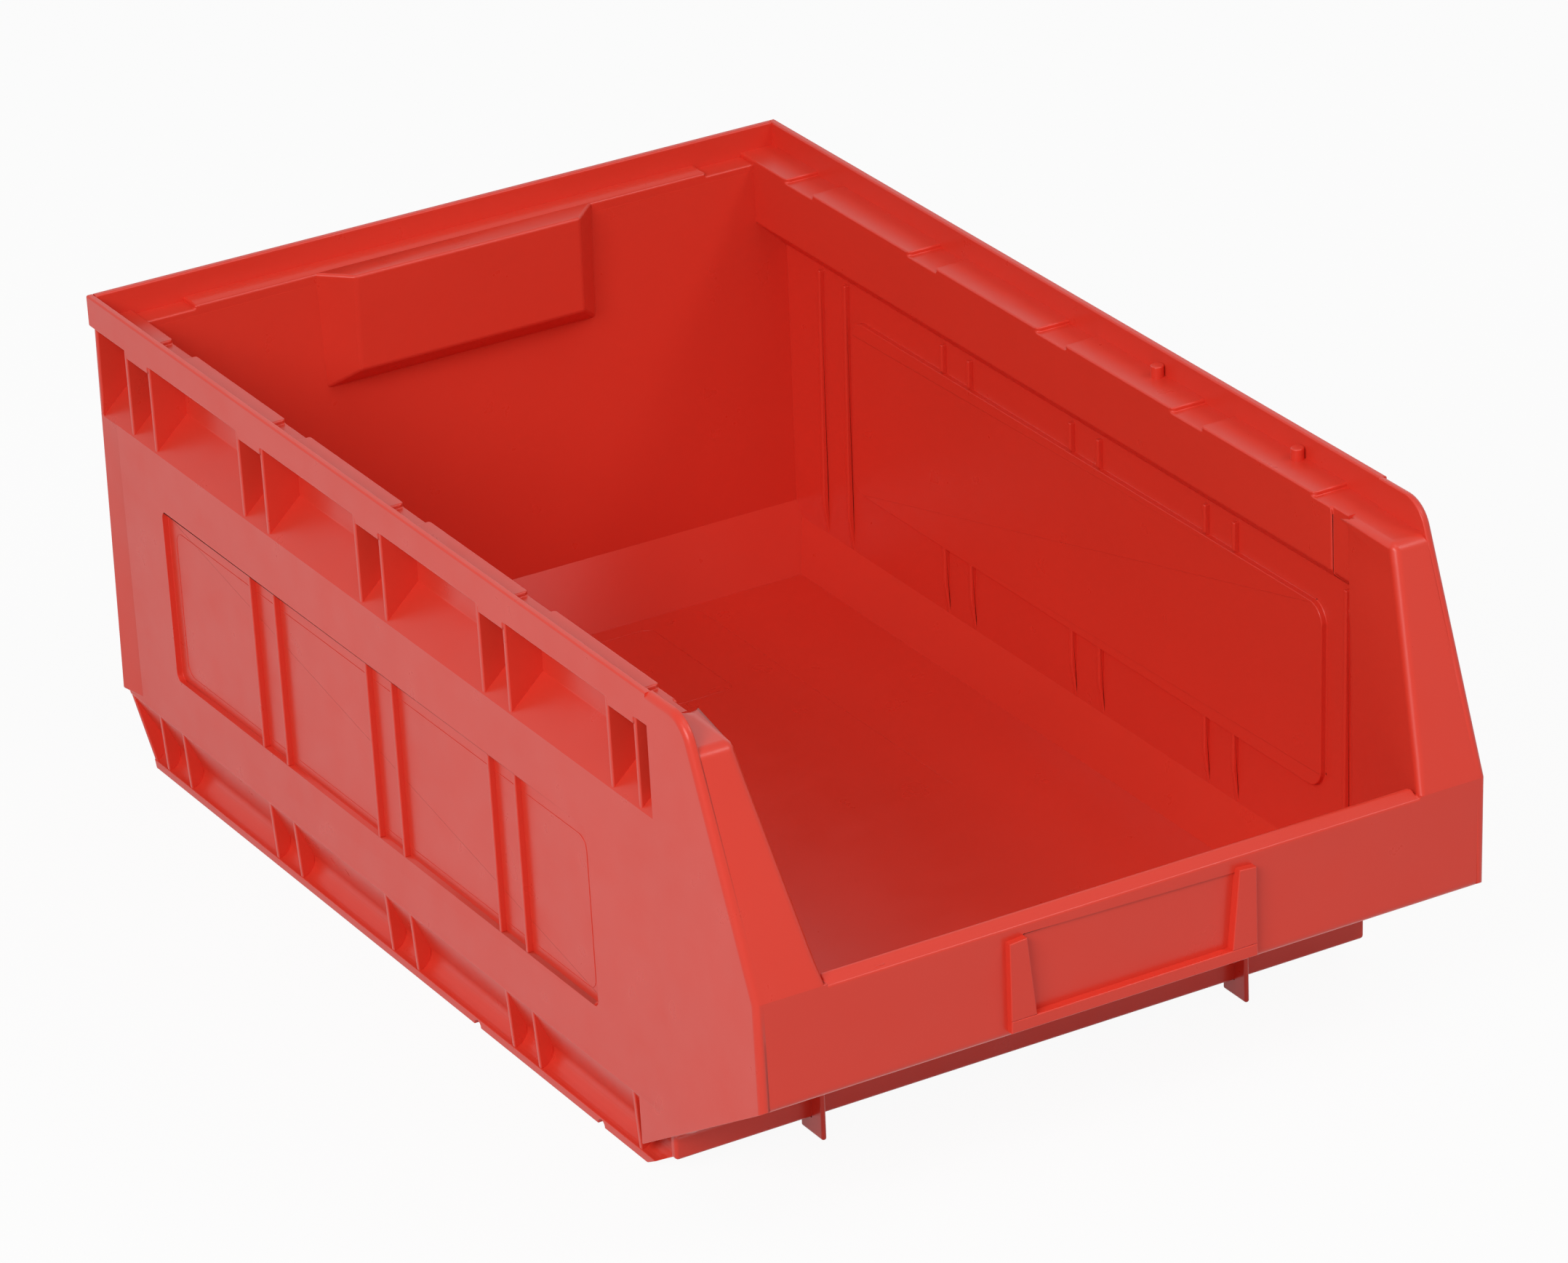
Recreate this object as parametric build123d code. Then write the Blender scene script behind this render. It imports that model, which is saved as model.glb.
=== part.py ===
from build123d import *
import math
import os

# Open-front storage bin, one injection moulding, cut into its regions.
# X runs across the bin, Y from the open front (-Y) to the back, Z up from the base.
# Below, y is measured from the front face; everything is moved to the middle when it is written.

# Overall size, in mm
bin_width = 310.0
bin_depth = 495.0
bin_height = 197.0

# Walls
wall = 3.0                  # front, back and post walls
side_wall_thickness = 3.6
side_draft = 1.02           # lean of the side walls, degrees
back_draft = 1.6            # lean of the back wall, degrees
floor_under = 8.0           # underside of the floor above the ground
floor_wall = 3.0

# Rim strip and stacking ledge, with drops measured down from the rim
rim_wall = 3.0
rim_strip = 13.0            # height of the outer strip
rim_drop = 3.0              # how much lower the strip hangs between two webs
ledge_drop = 11.5           # from the rim down to the ledge in its notches
ledge_wall = 2.8
ledge_width = 15.0          # side ledge, inside the strip
back_ledge_width = 9.9
pad_rise = 1.8              # raised pads between the notches
notch_length = 19.2
notch_shift = 8.0           # notches sit this much in front of the webs
back_pad_half = 115.0

# Upper band and shoulder above the main wall
band_wall = 3.0
shoulder_drop = 35.5        # outer crease between band and shoulder
wall_drop = 48.8            # outer crease between shoulder and main wall
shoulder_wall = 2.8
front_jog = 1.2             # the band steps outwards between the post and its front end
band_front = 73.5

# Webs, ribs and gussets come in pairs at one pitch
rib_back_gap = 30.5         # rearmost web in front of the back of the bin
rib_front = 92.9            # rear web of the foremost pair
rib_gap = 19.6              # between the two of a pair
rib_pairs = 5
web_wall = 2.2
pocket_front = 64.0         # front end of the foremost pocket

# Side panel: recessed outside, raised inside
recess_front = 114.0
recess_back_gap = 51.0      # from the back of the bin
recess_low = 51.5
recess_top_drop = 73.0
recess_depth = 2.4
recess_radius = 3.0
raised_front = 96.0
raised_back_gap = 67.0
raised_low = 59.0
raised_top_drop = 63.0
raised_step = 2.4
raised_radius = 8.0
panel_rib_wall = 1.6
inner_rib_wall = 2.0
inner_rib_rise = 2.3
inner_rib_fade = 14.0       # the foot of the lower ribs fades out over this height
inner_rib_shift = 11.5      # inner ribs sit this much in front of the webs

# Base
cove_top = 30.0             # where the main wall bends inwards
cove_run = 9.0              # how far the side cove comes in
back_cove_top = 36.0
back_cove_run = 17.0
skirt_step = 5.0            # side skirt inside the rim face
skirt_back_gap = 20.0       # back skirt in front of the back of the bin
skirt_front = 88.0
skirt_lip = 3.2
skirt_foot = 2.6
skirt_nick_places = (213.0, 121.0)
skirt_nick_radius = 2.4
gusset_wall = 2.0

# Front
knee_height = 102.2         # where the slanted post face meets the front face
lip_bottom = 60.0
lip_wall = 3.0
lip_depth = 7.0             # depth of the thicker top strip of the lip
lip_slope = 2.6             # rise of the top strip towards the inside
post_setback = 34.3         # front edge of the post top behind the front face
post_draft_top = 18.0       # inner edge of the post top inside the rim face
post_draft_low = 31.0       # inner edge of the post at the lip inside the rim face
post_back = 61.0
post_chamfer = 3.7
post_tail = 74.0            # where the back of the post meets the side wall
post_end_wall = 2.4         # front end of the pockets beside the rim
corner_radius = 14.0        # rounded front end of the rim
nose_foot = 70.0            # where the front underside drops to the floor
nose_step = 9.5             # height of that drop
nose_rise = 2.2             # inner face of the slope above its underside
nose_back = 3.0             # inner face of the drop behind its front
lip_seam = 1.6              # the front face starts this much above its lower edge
crease_radius = 2.4         # rounded edge between cheek and front

# Label holder
label_half = 51.8
label_top = 97.5
label_rail_top = 7.3
label_rail_low = 10.6
label_sill = 4.8
label_proud = 3.0
label_recess = 0.6

# Rear boss behind the finger grip
boss_half = 62.0
boss_face_half = 50.5
boss_proud = 11.5
boss_drop = 59.5            # lower end of the boss at the wall, below the rim
boss_face_drop = 50.0
boss_wall = 3.0

# Small stacking features
peg_radius = 2.6
peg_height = 4.6
peg_places = (206.0, 113.0)
hook_place = 91.0
hook_wall = 2.0
hook_front = 63.0
hook_length = 15.0
hook_foot = 1.5
rear_step = 4.0             # rear end of the side walls in front of the back of the bin
fin_wall = 2.4              # upright fin on the rear corner
fin_step = 0.6              # fin edge inside the rim face
flare_run = 13.0            # length over which the wall flares out to the fin

# Worked out from the sizes above
half_width = bin_width / 2
draft_slope = math.tan(math.radians(side_draft))
back_slope = math.tan(math.radians(back_draft))
rim_low = bin_height - rim_strip
ledge_top = bin_height - ledge_drop
ledge_low = ledge_top - ledge_wall
shoulder_top = bin_height - shoulder_drop
shoulder_low = bin_height - wall_drop
recess_high = bin_height - recess_top_drop
raised_high = bin_height - raised_top_drop
boss_low = bin_height - boss_drop
boss_face_low = bin_height - boss_face_drop
post_top = ledge_top
rim_inner = half_width - rim_wall
band_inner = rim_inner - ledge_width
jog_inner = band_inner + front_jog
rim_back_inner = bin_depth - rim_wall
back_inner = rim_back_inner - back_ledge_width
rib_first = bin_depth - rib_back_gap
rib_pitch = (rib_first - rib_front) / (rib_pairs - 1)
recess_back = bin_depth - recess_back_gap
raised_back = bin_depth - raised_back_gap
skirt_half = half_width - skirt_step
skirt_back = bin_depth - skirt_back_gap
rear_end = bin_depth - rear_step
post_inner_top = half_width - post_draft_top
post_inner_low = half_width - post_draft_low
floor_top = floor_under + floor_wall
label_low = lip_bottom + lip_seam
middle = (bin_depth - label_proud) / 2
far = bin_width + bin_depth + bin_height


def side_out(z):
    return half_width - draft_slope * (bin_height - z)


def side_in(z):
    return side_out(z) - side_wall_thickness


def back_in(z):
    return back_inner - back_slope * (ledge_top - z)


def prism_y(points, y0, y1):
    """A section drawn as (x, z) points, run from y0 to y1."""
    face = make_face(Polyline([(x, y0, z) for x, z in points], close=True))
    return extrude(face, amount=y1 - y0, dir=(0, 1, 0))


def prism_x(points, x0, x1):
    """A section drawn as (y, z) points, run from x0 to x1."""
    face = make_face(Polyline([(x0, y, z) for y, z in points], close=True))
    return extrude(face, amount=x1 - x0, dir=(1, 0, 0))


def block(x0, x1, y0, y1, z0, z1):
    size = (x1 - x0, y1 - y0, z1 - z0)
    return Pos((x0 + x1) / 2, (y0 + y1) / 2, (z0 + z1) / 2) * Box(*size)


def face_of(*lines):
    """A face from lines and arcs that close on each other."""
    return make_face([edge for line in lines for edge in line.edges()])


def mirrored(shape):
    return mirror(shape, about=Plane.YZ)


def pair_places(shift=0.0):
    """Where the rear one of each pair of webs stands, moved forward by shift."""
    return [rib_first - shift - rib_pitch * i for i in range(rib_pairs)]


def rim_side():
    """Outer strip of the right rim, lower between the two webs of each pair."""
    strip = [
        (rim_inner, rim_low),
        (side_out(rim_low), rim_low),
        (half_width, bin_height),
        (rim_inner, bin_height),
    ]
    body = prism_y(strip, pocket_front, bin_depth)
    low = rim_low - rim_drop
    drop = [
        (rim_inner, low),
        (side_out(low), low),
        (side_out(rim_low), rim_low),
        (rim_inner, rim_low),
    ]
    for y in pair_places():
        body += prism_y(drop, y - rib_gap, y - web_wall / 2)
    return body


def rim_back():
    return block(-rim_inner, rim_inner, rim_back_inner, bin_depth, rim_low, bin_height)


def ledge_side():
    """Right stacking ledge: pads stand above the notches."""
    shelf = block(band_inner, rim_inner, pocket_front, rim_back_inner, ledge_low, ledge_top)
    ends = [rim_back_inner]
    for y in pair_places(notch_shift):
        ends += [y, y - notch_length]
    for back, front in zip(ends[0::2], ends[1::2]):
        shelf += block(band_inner, rim_inner, front, back, ledge_top, ledge_top + pad_rise)
    return shelf - block(0, jog_inner, 0, band_front, 0, far)


def ledge_back():
    shelf = block(-band_inner, band_inner, back_inner, rim_back_inner, ledge_low, ledge_top)
    pad = block(-back_pad_half, back_pad_half, back_inner, rim_back_inner,
                ledge_top, ledge_top + pad_rise)
    return shelf + pad


def pegs_side():
    """Two round locating pegs standing on the ledge pads against the strip."""
    x = rim_inner - peg_radius
    pegs = []
    for y in peg_places:
        peg = Pos(x, y, ledge_top + pad_rise + peg_height / 2) * Cylinder(peg_radius, peg_height)
        pegs.append(fillet(peg.edges().group_by(Axis.Z)[-1], 0.5))
    return pegs


def slope_height(x, drop):
    """Height of the shoulder at distance x from the middle, drop below its outer face."""
    run = side_out(shoulder_low) - band_inner - band_wall
    return shoulder_top - drop - (x - band_inner - band_wall) * (shoulder_top - shoulder_low) / run


def band_section(inner):
    """Band and shoulder as (x, z) points, with the band's inner face at x = inner."""
    run = side_out(shoulder_low) - band_inner - band_wall
    drop = shoulder_wall * math.hypot(run, shoulder_top - shoulder_low) / run
    outer = inner + band_wall
    foot_x = side_in(shoulder_low)
    foot_z = slope_height(foot_x, drop)
    return [
        (inner, ledge_low),
        (inner, slope_height(inner, drop)),
        (side_in(foot_z), foot_z),
        (side_out(foot_z), foot_z),
        (side_out(shoulder_low), shoulder_low),
        (outer, slope_height(outer, 0)),
        (outer, ledge_low),
    ]


def shoulder_foot():
    """Height at which the shoulder ends and the main wall begins."""
    return band_section(band_inner)[2][1]


def upper_band():
    """Band and shoulder, stepped outwards in front of the foremost notch."""
    main_part = prism_y(band_section(band_inner), band_front, rear_end)
    front_part = prism_y(band_section(jog_inner), pocket_front, band_front + band_wall)
    inner = band_section(band_inner)
    jogged = band_section(jog_inner)
    cross = prism_y([inner[0], inner[1], jogged[1], jogged[5], jogged[6]],
                    band_front, band_front + band_wall)
    return main_part + front_part + cross


def wall_section():
    top = shoulder_foot()
    return [
        (side_in(cove_top), cove_top),
        (side_out(cove_top), cove_top),
        (side_out(top), top),
        (side_in(top), top),
    ]


def rounded_panel(y0, y1, z0, z1, radius, x0, x1):
    """A plate in the side plane with rounded corners."""
    flat = Plane(origin=(x0, (y0 + y1) / 2, (z0 + z1) / 2), x_dir=(0, 1, 0), z_dir=(1, 0, 0))
    return extrude(flat * RectangleRounded(y1 - y0, z1 - z0, radius), amount=x1 - x0)


def leaning_slab(offset_in, offset_out, y0, y1, z0, z1):
    """A slab that follows the lean of the right wall, between two offsets from its outer face."""
    section = [
        (side_out(z0) - offset_in, z0),
        (side_out(z0) - offset_out, z0),
        (side_out(z1) - offset_out, z1),
        (side_out(z1) - offset_in, z1),
    ]
    return prism_y(section, y0, y1)


def side_wall():
    """Main right wall: outside a recessed panel, inside a raised one."""
    body = prism_y(wall_section(), pocket_front, rear_end)
    raised = leaning_slab(side_wall_thickness + raised_step, side_wall_thickness,
                          raised_front, raised_back, raised_low, raised_high)
    raised &= rounded_panel(raised_front, raised_back, raised_low, raised_high,
                            raised_radius, 0, half_width)
    recess = leaning_slab(recess_depth, -wall, recess_front, recess_back, recess_low, recess_high)
    recess &= rounded_panel(recess_front, recess_back, recess_low, recess_high,
                            recess_radius, 0, half_width + wall)
    return body + raised - recess


def rear_flare():
    """Wedge with which the right wall widens to its rear end."""
    sections = []
    for z in (cove_top, shoulder_low):
        outline = Polyline([(side_out(z), rear_end - flare_run, z), (side_out(z), rear_end, z),
                            (half_width - fin_step, rear_end, z),
                            (half_width - fin_step, rear_end - fin_wall, z)], close=True)
        sections.append(make_face(outline))
    return loft(sections, ruled=True)


def panel_ribs():
    """Thin outer ribs that cross the recessed panel, flush with the wall around it."""
    ribs = []
    for y in pair_places()[1:-1]:
        for place in (y, y - rib_gap):
            ribs.append(leaning_slab(recess_depth, 0, place - panel_rib_wall / 2,
                                     place + panel_rib_wall / 2, recess_low, recess_high))
    return ribs


def inner_rib(y, z0, z1, fade):
    """One low upright rib inside the right wall; its foot fades out over the height fade."""
    rise = side_wall_thickness + inner_rib_rise
    section = [
        (side_in(z0), z0),
        (side_in(z1), z1),
        (side_out(z1) - rise, z1),
        (side_out(z0 + fade) - rise, z0 + fade),
    ]
    return prism_y(section, y - inner_rib_wall / 2, y + inner_rib_wall / 2)


def inner_ribs():
    """Ribs inside the right wall, above and below the raised panel or past its ends."""
    top = shoulder_foot()
    fade = inner_rib_fade
    ribs = []
    for number, y in enumerate(pair_places(inner_rib_shift)):
        for place in (y, y - rib_gap):
            if number == 0 or number == rib_pairs - 1 and place == y:
                ribs.append(inner_rib(place, cove_top, top, fade))
            elif number < rib_pairs - 1:
                ribs.append(inner_rib(place, raised_high, top, 0.5))
                ribs.append(inner_rib(place, cove_top, raised_low, fade))
    return ribs


def webs_side():
    """Upright webs in the pockets between the band and the strip."""
    section = [
        (band_inner + band_wall, ledge_low),
        (band_inner + band_wall, shoulder_top),
        (side_out(shoulder_low) - 0.4, shoulder_low + 0.4),
        (side_out(rim_low) - 0.4, ledge_low),
    ]
    rim = rim_side()
    band = upper_band()
    webs = []
    for y in pair_places():
        for place in (y, y - rib_gap):
            web = prism_y(section, place - web_wall / 2, place + web_wall / 2) - rim - band
            webs.append(web.solids().sort_by(Axis.X)[-1])
    return webs


def base_section():
    """Face of the right cove and skirt, seen along Y."""
    x_top = side_out(cove_top)
    bend_x = side_out(cove_top) - cove_run + 1.6
    outer = Polyline([(side_in(cove_top), 0, cove_top), (x_top, 0, cove_top),
                      (x_top, 0, cove_top - 2.0), (bend_x, 0, floor_top + 1.0)])
    flare = ThreePointArc((bend_x, 0, floor_top + 1.0), (bend_x + 0.5, 0, 6.4),
                          (skirt_half, 0, skirt_lip))
    inner_x = side_in(cove_top) - cove_run
    rest = Polyline([(skirt_half, 0, skirt_lip), (skirt_half, 0, 0), (skirt_half - skirt_foot, 0, 0),
                     (bend_x - 1.6, 0, 3.6), (inner_x, 0, floor_under), (inner_x, 0, floor_top),
                     (side_in(cove_top), 0, cove_top)])
    return face_of(outer, flare, rest)


def base_run(y0, y1):
    return extrude(Pos(0, y0, 0) * base_section(), amount=y1 - y0, dir=(0, 1, 0))


def back_envelope():
    """Everything in front of the outer face of the back cove and skirt."""
    y_top = back_in(back_cove_top) + wall
    bend_y = y_top - back_cove_run + 3.0
    outer = Polyline([(0, 0, far), (0, y_top + back_slope * (far - back_cove_top), far),
                      (0, y_top, back_cove_top), (0, bend_y, floor_top + 1.0)])
    flare = ThreePointArc((0, bend_y, floor_top + 1.0), (0, bend_y + 0.5, 6.4),
                          (0, skirt_back, skirt_lip))
    rest = Polyline([(0, skirt_back, skirt_lip), (0, skirt_back, 0), (0, 0, 0), (0, 0, far)])
    return extrude(face_of(outer, flare, rest), amount=half_width * 2, both=True, dir=(1, 0, 0))


def cavity_back():
    """Everything in front of the inner face of the back wall and its cove."""
    y_low = back_in(back_cove_top) - back_cove_run
    points = [
        (0, far),
        (back_in(far), far),
        (back_in(back_cove_top), back_cove_top),
        (y_low, floor_top),
        (y_low, floor_under),
        (skirt_back - 12.0, 3.4),
        (skirt_back - skirt_foot, 0),
        (skirt_back - skirt_foot, -1),
        (0, -1),
    ]
    return prism_x(points, -half_width * 2, half_width * 2)


def cavity_sides():
    """Everything between the inner faces of the side walls."""
    inner_x = side_in(cove_top) - cove_run
    band = band_section(band_inner)
    right = [
        (skirt_half - skirt_foot, -1),
        (skirt_half - skirt_foot, 0),
        (side_out(cove_top) - cove_run, 3.6),
        (inner_x, floor_under),
        (inner_x, floor_top),
        (side_in(cove_top), cove_top),
        band[2],
        band[1],
        (band_inner, far),
    ]
    left = [(-x, z) for x, z in reversed(right)]
    return prism_y(right + left, -far, far)


def cheek_outline():
    """Side view of the cheek: rounded top corner, slanted front, nose and lower edge."""
    slope = (post_top - knee_height) / post_setback
    top_y = post_setback + (bin_height - post_top) / slope
    turn = math.radians(180) - math.atan2(bin_height - knee_height, top_y)
    tangent = corner_radius * math.tan((math.pi - turn) / 2)
    lean = math.atan2(1.0, slope)
    start = (top_y + tangent, bin_height)
    end = (top_y - tangent * math.sin(lean), bin_height - tangent * math.cos(lean))
    arc_mid_y = start[0] - corner_radius * math.sin((math.pi - turn) / 2)
    arc_mid_z = bin_height - corner_radius * (1 - math.cos((math.pi - turn) / 2))
    rest = Polyline([(0, *end), (0, 0, knee_height), (0, 0, lip_bottom),
                     (0, skirt_front, floor_under), (0, skirt_front, cove_top),
                     (0, pocket_front, cove_top), (0, pocket_front, bin_height), (0, *start)])
    arc = ThreePointArc((0, *start), (0, arc_mid_y, arc_mid_z), (0, *end))
    return face_of(rest, arc)


def cheek():
    """Outer plate at the front end of the right side, with a rounded front edge."""
    plate = extrude(cheek_outline(), amount=half_width + wall, dir=(1, 0, 0))
    slab = leaning_slab(side_wall_thickness, 0, -1, skirt_front, 0, bin_height)
    body = plate & slab
    front = body.edges().filter_by(lambda e: e.center().Y < post_setback and e.center().X > side_out(
        e.center().Z) - 0.01 and e.center().Z > lip_bottom + 5)
    straight = [e for e in front if e.length > 25]
    return fillet(straight, crease_radius)


def post_line(z):
    """Distance of the front surface behind the front face at height z."""
    if z <= knee_height:
        return 0.0
    return post_setback * (z - knee_height) / (post_top - knee_height)


def post_inner(z):
    share = min((post_top - z) / (post_top - knee_height), 1.0)
    return post_inner_top - (post_inner_top - post_inner_low) * share


def post_block(inset, foot):
    """Solid of the right post; inset moves its front, inner and back faces in by one wall."""
    low = knee_height - foot
    corner = post_inner_top + inset
    sections = []
    for z in (low, knee_height, post_top - inset):
        front = post_line(z) + inset
        outline = Polyline([(post_inner(z) + inset, front, z), (half_width, front, z),
                            (half_width, post_tail, z), (side_in(cove_top), post_tail - inset, z),
                            (corner + front_jog, post_back + post_chamfer - inset, z),
                            (corner, post_back - inset, z)], close=True)
        sections.append(make_face(outline))
    return loft(sections[:2], ruled=True) + loft(sections[1:], ruled=True)


def front_post():
    """Hollow right post: slanted face, inner wall and top, open underneath."""
    body = post_block(0, knee_height - floor_top) - post_hollow()
    body &= cavity_beside_cheek()
    body -= block(0, half_width, pocket_front, far, shoulder_foot(), far)
    body -= nose_solid()
    body -= front_panel_block()
    return body


def post_hollow():
    """Room inside the right post, stopped short of the pockets beside the rim."""
    room = post_block(wall, knee_height - floor_under)
    shoulder = shoulder_foot() - post_end_wall
    return room - block(0, half_width, pocket_front - post_end_wall, far, shoulder, far)


def cavity_beside_cheek():
    """Room between the cheek and the middle, above the floor, for the right post."""
    inner_x = side_in(cove_top) - cove_run
    section = [
        (0, floor_top),
        (inner_x, floor_top),
        (side_in(cove_top), cove_top),
        (side_in(post_top), post_top),
        (0, post_top),
    ]
    return prism_y(section, 0, post_tail)


def nose_solid():
    """The sloping underside of the front and everything under it."""
    points = [
        (0, lip_bottom + lip_seam),
        (lip_wall, lip_bottom + lip_seam),
        (lip_wall, lip_bottom + nose_rise),
        (nose_foot + nose_back, floor_under + nose_step + nose_rise),
        (nose_foot + nose_back, 0),
        (0, 0),
    ]
    return prism_x(points, -half_width, half_width)


def nose():
    """Sloping front underside that ends in the upright front of the floor."""
    points = [
        (0, lip_bottom),
        (0, lip_bottom + lip_seam),
        (lip_wall, lip_bottom + lip_seam),
        (lip_wall, lip_bottom + nose_rise),
        (nose_foot + nose_back, floor_under + nose_step + nose_rise),
        (nose_foot + nose_back, floor_under),
        (nose_foot, floor_under),
        (nose_foot, floor_under + nose_step),
    ]
    body = prism_x(points, -half_width, half_width) & between_cheeks()
    hollow = post_hollow() & cavity_beside_cheek()
    return body - hollow - mirrored(hollow)


def between_cheeks():
    section = [
        (side_in(floor_under), floor_under),
        (side_in(bin_height), bin_height),
        (-side_in(bin_height), bin_height),
        (-side_in(floor_under), floor_under),
    ]
    return prism_y(section, -wall, skirt_front)


def front_panel_block():
    return block(-half_width, half_width, 0, lip_wall, lip_bottom, knee_height)


def front_lip():
    """Front face between the cheeks, with a thicker rounded top strip between the posts."""
    face = block(-half_width, half_width, 0, lip_wall, lip_bottom + lip_seam, knee_height)
    face &= between_cheeks()
    strip_points = [
        (0, knee_height - 8.0),
        (lip_wall, knee_height - 8.0),
        (lip_depth, knee_height - 4.0),
        (lip_depth, knee_height + lip_slope),
        (0, knee_height - 0.8),
    ]
    strip = prism_x(strip_points, -post_inner_low, post_inner_low)
    body = face - block(-post_inner_low, post_inner_low, 0, far, knee_height - 8.0, far) + strip
    body -= post_sides()
    field = label_half - label_rail_top
    body -= block(-field, field, 0, label_recess, label_low, label_top)
    return body


def post_sides():
    """Both posts, as they stand above the lip."""
    right = post_block(0, knee_height - floor_top)
    right &= block(0, far, -far, far, knee_height, far)
    return right + mirrored(right)


def label_rail():
    """Right upright of the label holder, wider towards its foot."""
    points = [
        (label_half, label_low + label_sill),
        (label_half, label_top - 0.6),
        (label_half - label_rail_top, label_top),
        (label_half - label_rail_low, label_low + label_sill),
    ]
    body = prism_y(points, -label_proud, 0)
    backing_half = label_half - label_rail_top
    low = label_half - label_rail_low
    filler = [(low, label_low + label_sill), (backing_half, label_low + label_sill),
              (backing_half, label_top)]
    body += prism_y(filler, -label_proud, label_recess)
    edges = body.edges().filter_by(lambda e: e.center().Y < -label_proud + 0.01)
    return fillet(edges, 0.5)


def label_sill_bar():
    """Foot of the label holder, across both uprights."""
    body = block(-label_half, label_half, -label_proud, 0, label_low, label_low + label_sill)
    half = label_half - label_rail_top
    body += block(-half, half, 0, label_recess, label_low, label_low + label_sill)
    edges = body.edges().filter_by(lambda e: e.center().Y < -label_proud + 0.01)
    return fillet(edges, 0.5)


def floor_pan():
    inner_x = side_in(cove_top) - cove_run
    y_back = back_in(back_cove_top) - back_cove_run
    return block(-inner_x, inner_x, nose_foot + nose_back, y_back, floor_under, floor_top)


def split_base(body):
    upper = body & block(-far, far, -far, far, floor_under, far)
    lower = body & block(-far, far, -far, far, 0, floor_under)
    return upper, lower


def rear_profile():
    """Everything in front of the slanted rear ends of the coves and skirts."""
    points = [
        (0, -1),
        (0, far),
        (rear_end, far),
        (rear_end, cove_top),
        (skirt_back + 6.0, floor_top),
        (skirt_back + 1.5, skirt_lip),
        (skirt_back, -1),
    ]
    return prism_x(points, -far, far)


def side_base():
    """Right cove and right skirt."""
    body = base_run(nose_foot + nose_back, rear_end) & rear_profile()
    cove, skirt = split_base(body)
    skirt &= prism_x([(nose_foot + nose_back, floor_under), (skirt_front, 0), (far, 0),
                      (far, floor_under)], 0, far)
    for y in skirt_nick_places:
        nick = Pos(skirt_half, y, 0) * Rot(0, 90, 0) * Cylinder(skirt_nick_radius, 3 * skirt_foot)
        skirt -= nick
    cove -= cheek()
    cove -= nose_solid()
    return cove, skirt


def back_base():
    """Back cove and back skirt, between the side ones."""
    body = back_envelope() - cavity_back()
    body &= cavity_sides()
    body &= block(-far, far, nose_foot + nose_back, far, 0, back_cove_top)
    cove, skirt = split_base(body)
    return cove, skirt


def boss_block(inset):
    """Solid of the boss that the finger grip makes inside the back wall."""
    y0 = back_inner - boss_proud + inset
    grow = inset * 0.4
    front = make_face(Polyline([
        (-boss_face_half + inset, y0, boss_face_low + inset),
        (boss_face_half - inset, y0, boss_face_low + inset),
        (boss_face_half - inset, y0, ledge_low),
        (-boss_face_half + inset, y0, ledge_low)], close=True))
    y1 = back_inner + grow
    back = make_face(Polyline([
        (-boss_half + inset, y1, boss_low + inset),
        (boss_half - inset, y1, boss_low + inset),
        (boss_half - inset, y1, ledge_low),
        (-boss_half + inset, y1, ledge_low)], close=True))
    return loft([front, back], ruled=True)


def back_wall_slab():
    points = [
        (back_in(back_cove_top), back_cove_top),
        (back_in(back_cove_top) + wall, back_cove_top),
        (back_in(ledge_low) + wall, ledge_low),
        (back_in(ledge_low), ledge_low),
    ]
    return prism_x(points, -half_width, half_width)


def back_wall():
    """Back wall between the side walls, open where the finger grip goes in."""
    body = back_wall_slab() & cavity_sides()
    return body - boss_window()


def boss_window():
    inset = boss_wall
    return block(-boss_half + inset, boss_half - inset, 0, far, boss_low + inset, ledge_low)


def grip_boss():
    """Boss inside the back wall, hollow from behind."""
    body = boss_block(0) - boss_block(boss_wall)
    body -= back_wall_slab() - boss_window()
    body &= block(-far, far, 0, back_inner + wall, 0, ledge_low)
    y0 = back_inner - boss_proud
    outline = Polyline([(-boss_half, back_inner, ledge_low), (-boss_face_half, y0, ledge_low),
                        (boss_face_half, y0, ledge_low), (boss_half, back_inner, ledge_low)],
                       close=True)
    cap = extrude(make_face(outline), amount=ledge_wall + pad_rise, dir=(0, 0, 1))
    return body + cap


def rear_fin():
    """Fin that closes the pockets at the right rear corner, and the flare of the wall under it."""
    outer = half_width - fin_step
    section = [
        (band_inner + band_wall, ledge_low),
        (band_inner + band_wall, shoulder_top),
        (side_out(shoulder_low), shoulder_low),
        (outer, shoulder_low),
        (outer, rim_low),
        (rim_inner, rim_low),
        (rim_inner, ledge_low),
    ]
    fin = prism_y(section, rear_end - fin_wall, rear_end)
    return fin - rim_side() - upper_band() + rear_flare()


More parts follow.
